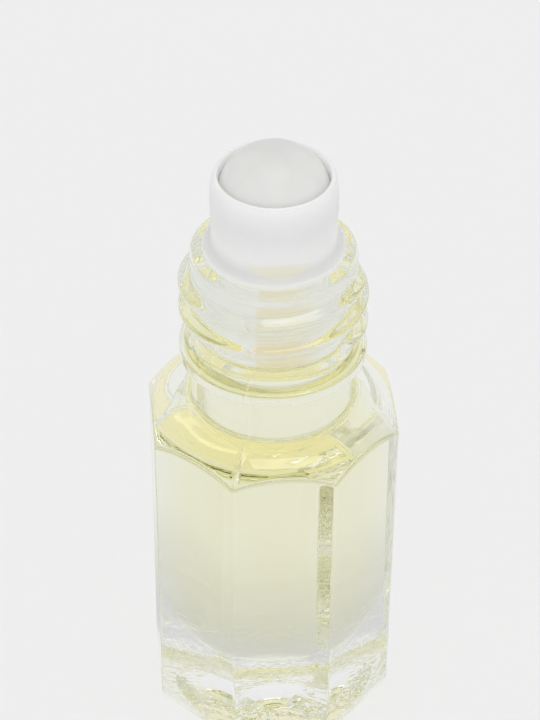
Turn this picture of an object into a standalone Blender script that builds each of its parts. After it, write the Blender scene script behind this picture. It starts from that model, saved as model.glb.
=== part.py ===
"""A roll-on perfume oil bottle: an octagonal glass, a pressed-in ball housing, its ball and the oil.

Metres, +Z up. The origin is the middle of the base, and a flat side of the bottle faces -Y.
"""

import math

import bmesh
import bpy
from mathutils import Vector

# Glass body
FACES = 8
ACROSS_FLATS = 0.0170
EDGE_RADIUS = 0.0005
HEEL_RADIUS = 0.0019
PUSH_UP_MARGIN = 0.0036
PUSH_UP_DEPTH = 0.0013
FACE_HEIGHT = 0.0269
SHOULDER_ROUND = 0.0058
SHOULDER_REACH = 0.0038
SHOULDER_EDGE = 0.0006

# Hollow of the glass
BODY_WALL = 0.0020
BASE_THICKNESS = 0.0062
FLOOR_CORNER_RADIUS = 0.0050
SHOULDER_WALL = 0.0015
CEILING_FILLET = 0.0006
CEILING_ROUND = 0.0024

# Glass neck, from the shoulder up to the rim
NECK_WALL = 0.00183
NECK_FILLET = 0.0005
WAIST_LENGTH = 0.0032
BEAD_WIDTH = 0.0017
BEAD_HEIGHT = 0.0008
BEAD_SLOPE = 0.00046
BEAD_UNDERSIDE = 0.00045
BEAD_ROUNDING = 0.00016
FINISH_LENGTH = 0.00725
RIM_ROUNDING = 0.0003

# Cap thread, a right-handed ridge around the neck
THREAD_HEIGHT = 0.0008
THREAD_PITCH = 0.002117
THREAD_TURNS = 2.13
THREAD_SETBACK = 0.00135
THREAD_TOP_ANGLE = math.radians(-1.0)
THREAD_FADE_TURNS = 0.07

# Ball and its housing
BALL_RADIUS = 0.0038
BALL_CLEARANCE = 0.00006
BALL_LIFT = 0.0004
HOUSING_WALL = 0.00041
HOUSING_TAPER = 0.00007
LIP_RISE = 0.00185
LIP_BITE = 0.00007
LIP_WALL = 0.00023
FLANGE_STEP = 0.00055
FLANGE_THICKNESS = 0.00045
FLANGE_FILLET = 0.0003
FLANGE_SEAT = 0.00100
SEAT_GAP = 0.00005
SKIRT_LENGTH = 0.0069
SKIRT_CLEARANCE = 0.00005
SKIRT_WALL = 0.00075
SKIRT_CHAMFER = 0.0003
RIBS = 4
RIB_HEIGHT = 0.00012
RIB_WIDTH = 0.0006
SOCKET_FLOOR = 0.0008
FEED_RADIUS = 0.0009

# Oil
OIL_CLEARANCE = 0.00008
OIL_HEADSPACE = 0.0002

# Smoothness, in pieces per arc or turn
POINTS_PER_FACE = 8
TURN_STEPS = 40
BALL_RINGS = 20
ARC_STEPS = 4
THREAD_POINTS_PER_TURN = 36
MERGE = 0.000001
SHARP_ANGLE = math.radians(32.0)

# Sizes that follow from those above
APOTHEM = ACROSS_FLATS / 2
HALF_FACE_ANGLE = math.pi / FACES
SOCKET_RADIUS = BALL_RADIUS + BALL_CLEARANCE
HOUSING_RADIUS = SOCKET_RADIUS + HOUSING_WALL
LIP_RADIUS = BALL_RADIUS - LIP_BITE
FLANGE_RADIUS = HOUSING_RADIUS + FLANGE_STEP
BORE_RADIUS = FLANGE_RADIUS - FLANGE_SEAT
NECK_RADIUS = BORE_RADIUS + NECK_WALL
CAVITY_RADIUS = APOTHEM - BODY_WALL
SHOULDER_START = APOTHEM - SHOULDER_REACH
SHOULDER_CENTRE = FACE_HEIGHT - math.sqrt(SHOULDER_ROUND**2 - SHOULDER_REACH**2)


def shoulder_height(radius):
    """Height of the shoulder at this distance from the axis: round, and level where it starts."""
    return SHOULDER_CENTRE + math.sqrt(SHOULDER_ROUND**2 - (radius - SHOULDER_START) ** 2)


CEILING_START = BORE_RADIUS + CEILING_FILLET
CEILING_HEIGHT = shoulder_height(CEILING_START) - SHOULDER_WALL
NECK_FOOT = shoulder_height(NECK_RADIUS + NECK_FILLET) + NECK_FILLET
BEAD_FOOT = NECK_FOOT + WAIST_LENGTH - NECK_FILLET
RIM_HEIGHT = BEAD_FOOT + BEAD_WIDTH + FINISH_LENGTH
BALL_HEIGHT = RIM_HEIGHT + BALL_LIFT + BALL_RADIUS
SKIRT_END = RIM_HEIGHT - SKIRT_LENGTH
OIL_LEVEL = SKIRT_END - OIL_HEADSPACE


def arc(centre, radii, start, end, steps):
    """Points (radius, height) along an arc of a circle or an ellipse, both ends included."""
    points = []
    for step in range(steps + 1):
        angle = start + (end - start) * step / steps
        points.append((centre[0] + radii[0] * math.cos(angle), centre[1] + radii[1] * math.sin(angle)))
    return points


def rounded_corners(corners, rounding):
    """Points (radius, height) along straight runs, with a soft curve at each corner between the ends."""
    points = [tuple(corners[0])]
    for before, corner, after in zip(corners, corners[1:], corners[2:]):
        start = corner + rounding * (before - corner).normalized()
        end = corner + rounding * (after - corner).normalized()
        for step in range(ARC_STEPS + 1):
            share = step / ARC_STEPS
            points.append(tuple(start.lerp(corner, share).lerp(corner.lerp(end, share), share)))
    points.append(tuple(corners[-1]))
    return points


def clear_scene():
    for old in list(bpy.data.objects):
        bpy.data.objects.remove(old, do_unlink=True)


def new_collection(name):
    collection = bpy.data.collections.new(name)
    bpy.context.scene.collection.children.link(collection)
    return collection


def move_to(collection, obj):
    for old in list(obj.users_collection):
        old.objects.unlink(obj)
    collection.objects.link(obj)
    return obj


def principled(name, colour, roughness, transmission):
    material = bpy.data.materials.new(name)
    material.use_nodes = True
    shader = material.node_tree.nodes["Principled BSDF"]
    shader.inputs["Base Color"].default_value = (*colour, 1.0)
    shader.inputs["Roughness"].default_value = roughness
    shader.inputs["Metallic"].default_value = 0.0
    shader.inputs["Transmission Weight"].default_value = transmission
    material.diffuse_color = (*colour, 1.0)
    return material


def smooth(mesh):
    mesh.shade_smooth()
    mesh.set_sharp_from_angle(angle=SHARP_ANGLE)


def turned(name, profile, closed, collection):
    """A solid turned from a profile of (radius, height) points that runs down its outer side."""
    mesh = bpy.data.meshes.new(name)
    edges = [(i, i + 1) for i in range(len(profile) - 1)]
    if closed:
        edges.append((len(profile) - 1, 0))
    mesh.from_pydata([(radius, 0.0, height) for radius, height in profile], edges, [])
    obj = bpy.data.objects.new(name, mesh)
    collection.objects.link(obj)
    screw = obj.modifiers.new("Screw", "SCREW")
    screw.axis = "Z"
    screw.angle = math.tau
    screw.steps = TURN_STEPS
    screw.render_steps = TURN_STEPS
    screw.use_merge_vertices = True
    screw.merge_threshold = MERGE
    screw.use_smooth_shade = True
    return obj


# Glass bottle


def section_angles():
    """Directions of the points of a ring: at each edge of the octagon, round it and across the faces."""
    rounding_start = math.atan((APOTHEM - EDGE_RADIUS) * math.tan(HALF_FACE_ANGLE) / APOTHEM)
    steps = POINTS_PER_FACE - 2
    angles = []
    for face in range(FACES):
        middle = 2 * HALF_FACE_ANGLE * face
        angles.append(middle - HALF_FACE_ANGLE)
        for step in range(steps + 1):
            angles.append(middle - rounding_start + 2 * rounding_start * step / steps)
    return angles


def octagon_radius(angle, apothem):
    """Distance from the axis to the side of an octagon with rounded edges, in this direction."""
    off_middle = abs((angle + HALF_FACE_ANGLE) % (2 * HALF_FACE_ANGLE) - HALF_FACE_ANGLE)
    flat_half_width = (apothem - EDGE_RADIUS) * math.tan(HALF_FACE_ANGLE)
    if apothem * math.tan(off_middle) <= flat_half_width:
        return apothem / math.cos(off_middle)
    centre = (apothem - EDGE_RADIUS) / math.cos(HALF_FACE_ANGLE)
    off_edge = HALF_FACE_ANGLE - off_middle
    return centre * math.cos(off_edge) + math.sqrt(EDGE_RADIUS**2 - (centre * math.sin(off_edge)) ** 2)


def base_sections():
    """Sections from the base's middle to the wall, each a function of direction giving radius and height."""
    push_up_radius = APOTHEM - PUSH_UP_MARGIN
    sections = []
    for step in range(1, ARC_STEPS + 1):
        share = step / ARC_STEPS
        height = PUSH_UP_DEPTH * (1 - share**2)
        sections.append(lambda angle, r=push_up_radius * share, z=height: (r, z))
    for radius, height in arc(
        (APOTHEM - HEEL_RADIUS, HEEL_RADIUS), (HEEL_RADIUS, HEEL_RADIUS), -math.pi / 2, 0.0, ARC_STEPS + 2
    ):
        sections.append(lambda angle, a=radius, z=height: (octagon_radius(angle, a), z))
    return sections


def worn_edge(angle, share):
    """The worn edge between a face and the shoulder, from the face (0) to the shoulder (1)."""
    radius = octagon_radius(angle, APOTHEM) - SHOULDER_EDGE
    off_start = radius - SHOULDER_START
    rise = math.sqrt((SHOULDER_ROUND - SHOULDER_EDGE) ** 2 - off_start**2)
    turn = math.atan2(rise, off_start) * share
    height = SHOULDER_CENTRE + rise
    return radius + SHOULDER_EDGE * math.cos(turn), height + SHOULDER_EDGE * math.sin(turn)


def shoulder_sections():
    """Sections over the shoulder, from the top of the faces to the foot of the neck."""
    foot = NECK_RADIUS + NECK_FILLET

    def on_shoulder(angle, share):
        edge, _ = worn_edge(angle, 1.0)
        radius = edge + (foot - edge) * share
        return radius, shoulder_height(radius)

    sections = []
    for step in range(ARC_STEPS):
        sections.append(lambda angle, share=step / ARC_STEPS: worn_edge(angle, share))
    for step in range(ARC_STEPS + 1):
        sections.append(lambda angle, share=step / ARC_STEPS: on_shoulder(angle, share))
    return sections


def neck_profile():
    """Outer side of the neck, upwards: fillet, waist, bead, thread's root and the rounded rim."""
    fillet = arc(
        (NECK_RADIUS + NECK_FILLET, NECK_FOOT),
        (NECK_FILLET, NECK_FILLET),
        1.5 * math.pi,
        math.pi,
        ARC_STEPS,
    )
    bead = rounded_corners(
        [
            Vector((NECK_RADIUS, BEAD_FOOT)),
            Vector((NECK_RADIUS + BEAD_HEIGHT, BEAD_FOOT + BEAD_UNDERSIDE)),
            Vector((NECK_RADIUS + BEAD_HEIGHT, BEAD_FOOT + BEAD_WIDTH - BEAD_SLOPE)),
            Vector((NECK_RADIUS, BEAD_FOOT + BEAD_WIDTH)),
        ],
        BEAD_ROUNDING,
    )
    rim = arc(
        (NECK_RADIUS - RIM_ROUNDING, RIM_HEIGHT - RIM_ROUNDING),
        (RIM_ROUNDING, RIM_ROUNDING),
        0.0,
        math.pi / 2,
        ARC_STEPS,
    )
    bore_edge = arc(
        (BORE_RADIUS + RIM_ROUNDING, RIM_HEIGHT - RIM_ROUNDING),
        (RIM_ROUNDING, RIM_ROUNDING),
        math.pi / 2,
        math.pi,
        ARC_STEPS,
    )
    return fillet[1:] + bead + rim + bore_edge


def cavity_profile(inset):
    """The hollow's wall, from the end of the bore down to its floor, drawn in by inset on every side."""
    fillet = CEILING_FILLET + inset
    profile = arc(
        (CEILING_START, CEILING_HEIGHT + CEILING_FILLET),
        (fillet, fillet),
        math.pi,
        1.5 * math.pi,
        ARC_STEPS,
    )
    profile += arc(
        (CEILING_START, CEILING_HEIGHT - CEILING_ROUND),
        (CAVITY_RADIUS - CEILING_START - inset, CEILING_ROUND - inset),
        math.pi / 2,
        0.0,
        2 * ARC_STEPS,
    )[1:]
    corner = FLOOR_CORNER_RADIUS - inset
    profile += arc(
        (CAVITY_RADIUS - FLOOR_CORNER_RADIUS, BASE_THICKNESS + FLOOR_CORNER_RADIUS),
        (corner, corner),
        0.0,
        -math.pi / 2,
        ARC_STEPS + 2,
    )
    return profile


def loft(name, sections, angles, first_point, last_point):
    """One closed skin through rings of points, with a point on the axis at either end."""
    mesh = bpy.data.meshes.new(name)
    skin = bmesh.new()
    rings = []
    for section in sections:
        ring = []
        for angle in angles:
            radius, height = section(angle)
            ring.append(skin.verts.new((radius * math.cos(angle), radius * math.sin(angle), height)))
        rings.append(ring)
    first = skin.verts.new(first_point)
    last = skin.verts.new(last_point)
    count = len(angles)
    for i in range(count):
        j = (i + 1) % count
        skin.faces.new((first, rings[0][j], rings[0][i]))
        for lower, upper in zip(rings, rings[1:]):
            skin.faces.new((lower[i], lower[j], upper[j], upper[i]))
        skin.faces.new((rings[-1][i], rings[-1][j], last))
    skin.to_mesh(mesh)
    skin.free()
    smooth(mesh)
    return mesh


def thread_ridge(collection):
    """The thread as a round ridge whose lower half is sunk in the neck and whose ends fade into it."""
    curve = bpy.data.curves.new("thread_ridge", "CURVE")
    curve.dimensions = "3D"
    curve.bevel_depth = THREAD_HEIGHT
    curve.bevel_resolution = 3
    curve.use_fill_caps = True
    spline = curve.splines.new("POLY")
    count = round(THREAD_TURNS * THREAD_POINTS_PER_TURN)
    spline.points.add(count)
    for i, point in enumerate(spline.points):
        turn = THREAD_TURNS * i / count
        fade = min(1.0, (turn + THREAD_FADE_TURNS / 4) / THREAD_FADE_TURNS)
        fade = min(fade, (THREAD_TURNS - turn + THREAD_FADE_TURNS / 4) / THREAD_FADE_TURNS)
        angle = THREAD_TOP_ANGLE - math.tau * turn
        radius = NECK_RADIUS - THREAD_HEIGHT * (1 - fade) / 2
        height = RIM_HEIGHT - THREAD_SETBACK - THREAD_PITCH * turn
        point.co = (radius * math.cos(angle), radius * math.sin(angle), height, 1.0)
        point.radius = fade
    ridge = bpy.data.objects.new("thread_ridge_curve", curve)
    collection.objects.link(ridge)
    bpy.context.view_layer.update()
    graph = bpy.context.evaluated_depsgraph_get()
    mesh = bpy.data.meshes.new_from_object(ridge.evaluated_get(graph))
    welded = bmesh.new()
    welded.from_mesh(mesh)
    bmesh.ops.remove_doubles(welded, verts=welded.verts, dist=MERGE)
    bmesh.ops.recalc_face_normals(welded, faces=welded.faces)
    welded.to_mesh(mesh)
    welded.free()
    solid = bpy.data.objects.new("thread_ridge", mesh)
    solid.matrix_world = ridge.matrix_world
    collection.objects.link(solid)
    bpy.data.objects.remove(ridge, do_unlink=True)
    solid.hide_render = True
    solid.display_type = "WIRE"
    return solid


def glass_bottle(collection, helpers):
    hollow = cavity_profile(0.0)
    turned_part = neck_profile() + hollow
    sections = base_sections() + shoulder_sections()
    sections += [lambda angle, r=radius, z=height: (r, z) for radius, height in turned_part]
    mesh = loft(
        "glass_bottle", sections, section_angles(), (0.0, 0.0, PUSH_UP_DEPTH), (0.0, 0.0, BASE_THICKNESS)
    )
    bottle = bpy.data.objects.new("glass_bottle", mesh)
    collection.objects.link(bottle)
    join = bottle.modifiers.new("Thread", "BOOLEAN")
    join.operation = "UNION"
    join.solver = "EXACT"
    join.object = thread_ridge(helpers)
    bottle.data.materials.append(principled("clear_glass", (0.95, 0.97, 0.96), 0.02, 1.0))
    return bottle


# Ball housing


def housing_top():
    """From the lip's inner edge over it and down the outside to the flange, seen from the ball's middle."""
    tip = LIP_WALL / 2
    lip = arc((LIP_RADIUS + tip, LIP_RISE - tip), (tip, tip), math.pi, 0.0, ARC_STEPS)
    lip_outer = LIP_RADIUS + LIP_WALL
    crown = arc(
        (lip_outer, 0.0), (HOUSING_RADIUS - lip_outer, LIP_RISE - tip), math.pi / 2, 0.0, 2 * ARC_STEPS
    )
    return lip + crown[1:]


def housing_flange():
    """The foot of the housing, its fillet and the flange that rests on the glass rim, from the rim up."""
    foot = HOUSING_RADIUS - HOUSING_TAPER
    top = SEAT_GAP + FLANGE_THICKNESS
    fillet = arc(
        (foot + FLANGE_FILLET, top + FLANGE_FILLET),
        (FLANGE_FILLET, FLANGE_FILLET),
        math.pi,
        1.5 * math.pi,
        ARC_STEPS,
    )
    rounding = FLANGE_THICKNESS / 3
    edge = arc((FLANGE_RADIUS - rounding, top - rounding), (rounding, rounding), math.pi / 2, 0.0, 2)
    return fillet + edge + [(FLANGE_RADIUS, SEAT_GAP)]


def skirt_profile():
    """Down the skirt's outside with its sealing ribs, round its end and up the inside to the floor."""
    rib_radius = BORE_RADIUS - SKIRT_CLEARANCE
    outer = rib_radius - RIB_HEIGHT
    inner = outer - SKIRT_WALL
    spacing = (SKIRT_LENGTH - SKIRT_CHAMFER) / (RIBS + 1)
    profile = [(outer, SEAT_GAP)]
    for rib in range(1, RIBS + 1):
        height = -spacing * rib
        profile += [
            (outer, height + RIB_WIDTH / 2),
            (rib_radius, height + RIB_WIDTH / 6),
            (rib_radius, height - RIB_WIDTH / 6),
            (outer, height - RIB_WIDTH / 2),
        ]
    underside = BALL_LIFT - BALL_CLEARANCE - SOCKET_FLOOR
    profile += [
        (outer, SKIRT_CHAMFER - SKIRT_LENGTH),
        (outer - SKIRT_CHAMFER, -SKIRT_LENGTH),
        (inner, -SKIRT_LENGTH),
        (inner, underside),
        (FEED_RADIUS, underside),
    ]
    return profile


def ball_socket():
    """The socket round the ball, from the feed hole up to the lip, seen from the ball's middle."""
    start = -math.acos(FEED_RADIUS / SOCKET_RADIUS)
    end = math.acos(LIP_RADIUS / SOCKET_RADIUS)
    return arc((0.0, 0.0), (SOCKET_RADIUS, SOCKET_RADIUS), start, end, 2 * ARC_STEPS + 2)


def ball_housing(collection):
    from_rim = BALL_HEIGHT - RIM_HEIGHT
    profile = [(radius, height + from_rim) for radius, height in housing_top()]
    profile += housing_flange() + skirt_profile()
    profile += [(radius, height + from_rim) for radius, height in ball_socket()]
    housing = turned("ball_housing", profile, True, collection)
    housing.location = (0.0, 0.0, RIM_HEIGHT)
    housing.data.materials.append(principled("frosted_plastic", (0.86, 0.87, 0.85), 0.45, 0.6))
    return housing


def roller_ball(collection):
    bpy.ops.mesh.primitive_uv_sphere_add(
        segments=TURN_STEPS, ring_count=BALL_RINGS, radius=BALL_RADIUS, location=(0.0, 0.0, BALL_HEIGHT)
    )
    ball = move_to(collection, bpy.context.active_object)
    ball.name = "roller_ball"
    ball.data.name = "roller_ball"
    smooth(ball.data)
    ball.data.materials.append(principled("ball_plastic", (0.84, 0.85, 0.82), 0.35, 0.3))
    return ball


# Oil


def perfume_oil(collection):
    """The oil, which fills the hollow and the bore up to just below the end of the skirt."""
    hollow = cavity_profile(OIL_CLEARANCE)
    radius = BORE_RADIUS - OIL_CLEARANCE
    profile = [(0.0, OIL_LEVEL), (radius, OIL_LEVEL)] + hollow
    profile.append((0.0, BASE_THICKNESS + OIL_CLEARANCE))
    oil = turned("perfume_oil", profile, False, collection)
    oil.data.materials.append(principled("perfume_oil", (0.90, 0.88, 0.55), 0.05, 0.9))
    return oil


def build():
    clear_scene()
    parts = new_collection("perfume_oil_bottle")
    helpers = new_collection("helpers")
    root = bpy.data.objects.new("perfume_oil_bottle_frame", None)
    parts.objects.link(root)
    bottle = glass_bottle(parts, helpers)
    oil = perfume_oil(parts)
    housing = ball_housing(parts)
    ball = roller_ball(parts)
    for piece in (bottle, oil, housing):
        piece.parent = root
    bpy.context.view_layer.update()
    ball.parent = housing
    ball.matrix_parent_inverse = housing.matrix_world.inverted()


build()
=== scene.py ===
"""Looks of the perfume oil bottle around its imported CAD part: glass, oil, ball housing and ball.

Metres, +Z up, in the CAD part's frame.
"""

import math

import bpy
import numpy as np
from mathutils import Matrix, Vector


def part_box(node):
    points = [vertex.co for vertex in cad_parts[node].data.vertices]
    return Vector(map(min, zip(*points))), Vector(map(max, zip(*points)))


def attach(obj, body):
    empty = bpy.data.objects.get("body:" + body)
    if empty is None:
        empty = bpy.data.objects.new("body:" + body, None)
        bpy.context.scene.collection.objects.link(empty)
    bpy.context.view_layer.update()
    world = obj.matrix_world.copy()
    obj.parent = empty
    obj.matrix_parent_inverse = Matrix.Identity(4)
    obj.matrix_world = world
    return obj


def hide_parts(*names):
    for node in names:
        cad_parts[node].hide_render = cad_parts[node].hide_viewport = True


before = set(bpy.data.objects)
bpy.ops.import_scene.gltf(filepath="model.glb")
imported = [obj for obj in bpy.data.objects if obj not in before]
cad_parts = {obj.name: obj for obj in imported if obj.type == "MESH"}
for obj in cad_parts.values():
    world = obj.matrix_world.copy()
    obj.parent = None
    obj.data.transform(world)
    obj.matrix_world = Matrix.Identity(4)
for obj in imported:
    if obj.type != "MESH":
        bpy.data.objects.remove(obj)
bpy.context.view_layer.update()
TURN = math.tau
WHITE = (1.0, 1.0, 1.0, 1.0)

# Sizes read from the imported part
GLASS_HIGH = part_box("glass_bottle")[1]
BALL_LOW, BALL_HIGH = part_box("roller_ball")
APOTHEM = GLASS_HIGH.x
RIM_HEIGHT = GLASS_HIGH.z
BALL_RADIUS = (BALL_HIGH.z - BALL_LOW.z) / 2
BALL_HEIGHT = (BALL_HIGH.z + BALL_LOW.z) / 2

# Sizes of the glass, as in the part's source
FACES = 8
EDGE_RADIUS = 0.0005
HEEL_RADIUS = 0.0019
PUSH_UP_MARGIN = 0.0036
PUSH_UP_DEPTH = 0.0013
FACE_HEIGHT = 0.0269
SHOULDER_ROUND = 0.0058
SHOULDER_REACH = 0.0038
SHOULDER_EDGE = 0.0006
BODY_WALL = 0.0020
BASE_THICKNESS = 0.0062
FLOOR_CORNER_RADIUS = 0.0050
SHOULDER_WALL = 0.0015
CEILING_FILLET = 0.0006
CEILING_ROUND = 0.0024
NECK_WALL = 0.00183
NECK_FILLET = 0.0005
FINISH_LENGTH = 0.00725
BEAD_WIDTH = 0.0017
BEAD_HEIGHT = 0.0008
BEAD_SLOPE = 0.00046
BEAD_UNDERSIDE = 0.00045
BEAD_ROUNDING = 0.00016
RIM_ROUNDING = 0.0003

# Cap thread
THREAD_HEIGHT = 0.0008
THREAD_RISE = 0.00060
THREAD_FALL = 0.00130
THREAD_FULLNESS = 0.8
THREAD_PITCH = 0.002117
THREAD_TURNS = 2.13
THREAD_SETBACK = 0.00135
THREAD_TOP_ANGLE = math.radians(-1.0)
THREAD_FADE_TURNS = 0.07

# Ball housing
BALL_CLEARANCE = 0.00006
HOUSING_WALL = 0.00041
HOUSING_TAPER = 0.00007
LIP_RISE = 0.00185
LIP_BITE = 0.00007
LIP_WALL = 0.00023
FLANGE_STEP = 0.00055
FLANGE_THICKNESS = 0.00045
FLANGE_FILLET = 0.00046
FLANGE_SEAT = 0.00100
SEAT_GAP = 0.00005
SKIRT_LENGTH = 0.0069
SKIRT_CLEARANCE = 0.00005
SKIRT_WALL = 0.00075
SKIRT_CHAMFER = 0.0003
RIBS = 4
RIB_HEIGHT = 0.00012
RIB_WIDTH = 0.0006
SOCKET_FLOOR = 0.0008
FEED_RADIUS = 0.0009

# Oil
OIL_HEADSPACE = 0.0002
OIL_GAP = 0.00001
OIL_SKIN = 0.00003
MENISCUS = 0.00012
MENISCUS_WIDTH = 0.0005
MENISCUS_DECAY = 3.0

# Moulding marks of the glass
SEAM_ANGLES = (math.radians(-112.5), math.radians(67.5))
SEAM_HEIGHT = 0.00004
SEAM_WIDTH = 0.00009
SEAM_EDGE_SHARE = 0.5
SEAM_CUT_SHARE = 0.0625
SEAM_NOTCH_SHARE = 0.35
SEAM_NOTCH_ANGLE = math.radians(2.0)
FACE_RIPPLE = 0.000006
FACE_RIPPLE_FADE = 6.0
FACE_RIPPLE_SEED = 3
HOLLOW_RIPPLE = 0.00004
HOLLOW_RIPPLE_START = 0.003
HOLLOW_RIPPLE_SEED = 11
RIPPLE_WAVES = 9
RIPPLE_LOBES = (1, 7)
RIPPLE_PER_METRE = (-900.0, 900.0)
HAMMERED_DEPTH = 0.00010
HAMMERED_CONTRAST = 0.7
HAMMERED_PEAK = 1.3
HAMMERED_SEED = 5
HAMMERED_WAVES = 16
HAMMERED_WAVELENGTHS = (0.0007, 0.0013)
HAMMERED_START = 0.0022
HAMMERED_END = 0.0078
HAMMERED_FADE = 0.0008
HAMMERED_FAINT = math.radians(182.0)
HAMMERED_FAINT_SPAN = math.radians(55.0)
HAMMERED_FAINT_SHARE = 0.1

# Steps of the meshes
FACE_COLUMNS = 24
EDGE_COLUMNS = 8
PUSH_UP_START = 0.03
PUSH_UP_STEPS = 43
BEARING_STEPS = 21
HEEL_STEPS = 12
BODY_STEPS = 44
SHOULDER_EDGE_STEPS = 6
SHOULDER_STEPS = 25
NECK_FILLET_STEPS = 8
WAIST_STEPS = 15
BEAD_STEPS = 7
THREAD_STEPS = 115
RIM_STEPS = 6
BORE_STEP = 0.0003
CEILING_FILLET_STEPS = 7
CEILING_STEPS = 18
HOLLOW_STEPS = 35
FLOOR_CORNER_STEPS = 16
FLOOR_STEPS = 7
OIL_STEPS = 25
OIL_SHARES = (0.75, 0.5, 0.25)
OIL_SHARP_ANGLE = math.radians(50.0)
RIB_STEPS = 6
FLANGE_STEPS = 5
FLANGE_FILLET_STEPS = 7
CROWN_STEPS = 20
LIP_STEPS = 8
SOCKET_STEPS = 28
HOUSING_COLUMNS = 160
HOUSING_SHARP_ANGLE = math.radians(40.0)
BALL_COLUMNS = 120
BALL_ROWS = 72

# Sizes that follow from those above
HALF_FACE_ANGLE = math.pi / FACES
SOCKET_RADIUS = BALL_RADIUS + BALL_CLEARANCE
HOUSING_RADIUS = SOCKET_RADIUS + HOUSING_WALL
LIP_RADIUS = BALL_RADIUS - LIP_BITE
FLANGE_RADIUS = HOUSING_RADIUS + FLANGE_STEP
BORE_RADIUS = FLANGE_RADIUS - FLANGE_SEAT
NECK_RADIUS = BORE_RADIUS + NECK_WALL
CAVITY_RADIUS = APOTHEM - BODY_WALL
PUSH_UP_RADIUS = APOTHEM - PUSH_UP_MARGIN
SHOULDER_START = APOTHEM - SHOULDER_REACH
SHOULDER_CENTRE = FACE_HEIGHT - math.sqrt(SHOULDER_ROUND**2 - SHOULDER_REACH**2)
CEILING_START = BORE_RADIUS + CEILING_FILLET
CEILING_REACH = CEILING_START - SHOULDER_START
CEILING_HEIGHT = SHOULDER_CENTRE + math.sqrt(SHOULDER_ROUND**2 - CEILING_REACH**2) - SHOULDER_WALL
BEAD_FOOT = RIM_HEIGHT - FINISH_LENGTH - BEAD_WIDTH
OIL_LEVEL = RIM_HEIGHT - SKIRT_LENGTH - OIL_HEADSPACE
RIB_SPACING = (SKIRT_LENGTH - SKIRT_CHAMFER) / (RIBS + 1)

# Looks of the glass and the oil
GLASS_INDEX = 1.52
GLASS_DARK = (0.972, 0.985, 0.976)
GLASS_LIGHT = (0.985, 0.992, 0.985)
GLASS_MOTTLE = 260.0
GLASS_WAVES = 420.0
GLASS_DEPTH = 0.000004
GRAIN_WAVES = 2200.0
GRAIN_DEPTH = 0.00007
OIL_INDEX = 1.515
OIL_COLOUR = (0.95, 0.88, 0.15)
OIL_DENSITY = 25.0

# Looks of the plastics
PLASTIC_INDEX = 1.5
PLASTIC_MOTTLE = 700.0
PLASTIC_ROUGH_WAVES = 1500.0
PLASTIC_ROUGH_SPREAD = 0.05
PLASTIC_WAVES = 3500.0
PLASTIC_DEPTH = 0.000004
PLASTIC_SCATTER = (1.0, 1.0, 0.9)
HOUSING_DARK = (0.95, 0.955, 0.945)
HOUSING_LIGHT = (0.98, 0.985, 0.975)
HOUSING_ROUGHNESS = 0.38
HOUSING_SCATTER_DEPTH = 0.0006
BALL_DARK = (0.81, 0.815, 0.795)
BALL_LIGHT = (0.84, 0.845, 0.825)
BALL_ROUGHNESS = 0.35
BALL_SCATTER_DEPTH = 0.0012

# Looks of the skirt in the neck, where a film of oil joins it to the glass
SKIRT_ROUGHNESS = 0.35
SKIRT_INDEX = 1.1
SKIRT_CLEARNESS = 0.15
SKIRT_DARK = (0.96, 0.96, 0.945)
SKIRT_LIGHT = (0.99, 0.99, 0.975)
# Painted light: the oil's yellow light through the plastic, in bands between the skirt's ribs in front
SKIRT_OIL_LIGHT = (0.93, 0.83, 0.56)
OIL_LIGHT_BAND_SHARE = 0.8
OIL_LIGHT_BAND_EDGE = 0.0002
OIL_LIGHT_BAND_BACK = 0.7

# Looks of the housing over the rim
# Painted glow in the thin lip: a faint emission in place of light through the plastic
LIP_GLOW = 0.05
# Painted shade on the housing just over the flange
FLANGE_SHADE = (0.79, 0.795, 0.79)
FLANGE_SHADE_HEIGHT = 0.0022
# Painted light: the oil's yellow light through the plastic, as an oval on the housing's front
HOUSING_OIL_GLOW = (0.86, 0.84, 0.72)
HOUSING_GLOW_HEIGHT = RIM_HEIGHT + 0.0012
HOUSING_GLOW_HALF_WIDTH = 0.0026
HOUSING_GLOW_HALF_HEIGHT = 0.0007
HOUSING_GLOW_FRONT = 0.001

# Noise in the materials
NOISE_DETAIL = 3.0
NOISE_LOW = 0.3
NOISE_HIGH = 0.7

# Background
BACKGROUND = (0.863, 0.863, 0.863)
FLOOR_HALF = 1.2
FLOOR_BELOW = 0.00003
FLOOR_DARK = (0.862, 0.862, 0.862)
FLOOR_LIGHT = (0.866, 0.866, 0.866)
FLOOR_MOTTLE = 8.0
FLOOR_ROUGHNESS = 0.9
FLOOR_SEEN = (0.888, 0.888, 0.888)
FLOOR_PALE_SEEN = 0.85
FLOOR_PALE_IN_GLASS = 0.9
# Painted shade on the floor at the bottle's sides, as the glass sees it
FLOOR_SIDES = (0.84, 0.84, 0.83)
# Painted light under the bottle, yellow from passing through the oil
FLOOR_UNDER = (0.90, 0.85, 0.58)
FLOOR_UNDER_RADIUS = 0.0068
# Painted bright light on the floor round the bottle's foot
FLOOR_NEAR = (0.88, 0.88, 0.84)
FLOOR_NEAR_START = 0.0092
FLOOR_NEAR_END = 0.0103
SHADOW_START = 0.0085
SHADOW_END = 0.023
SHADOW_SHARE = 0.73
ROOM_SIDES = (0.73, 0.74, 0.73)
ROOM_LIGHT = 1.15
ROOM_LIGHT_TOP = 0.60
ROOM_LIGHT_DIM = (0.0, 0.5, 0.866)

# Where the darker sides start and end, in shares of the half turn from behind the bottle to its front
SIDES_TURNS = (0.32, 0.42, 0.84, 0.90)

# Light panel overhead, in shares of a direction of unit length
PANEL_MIDDLE = (0.105, -0.145)
PANEL_HALF = (0.295, 0.115)
PANEL_EDGE = 0.02
PANEL_LIGHT = 3.3

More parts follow.
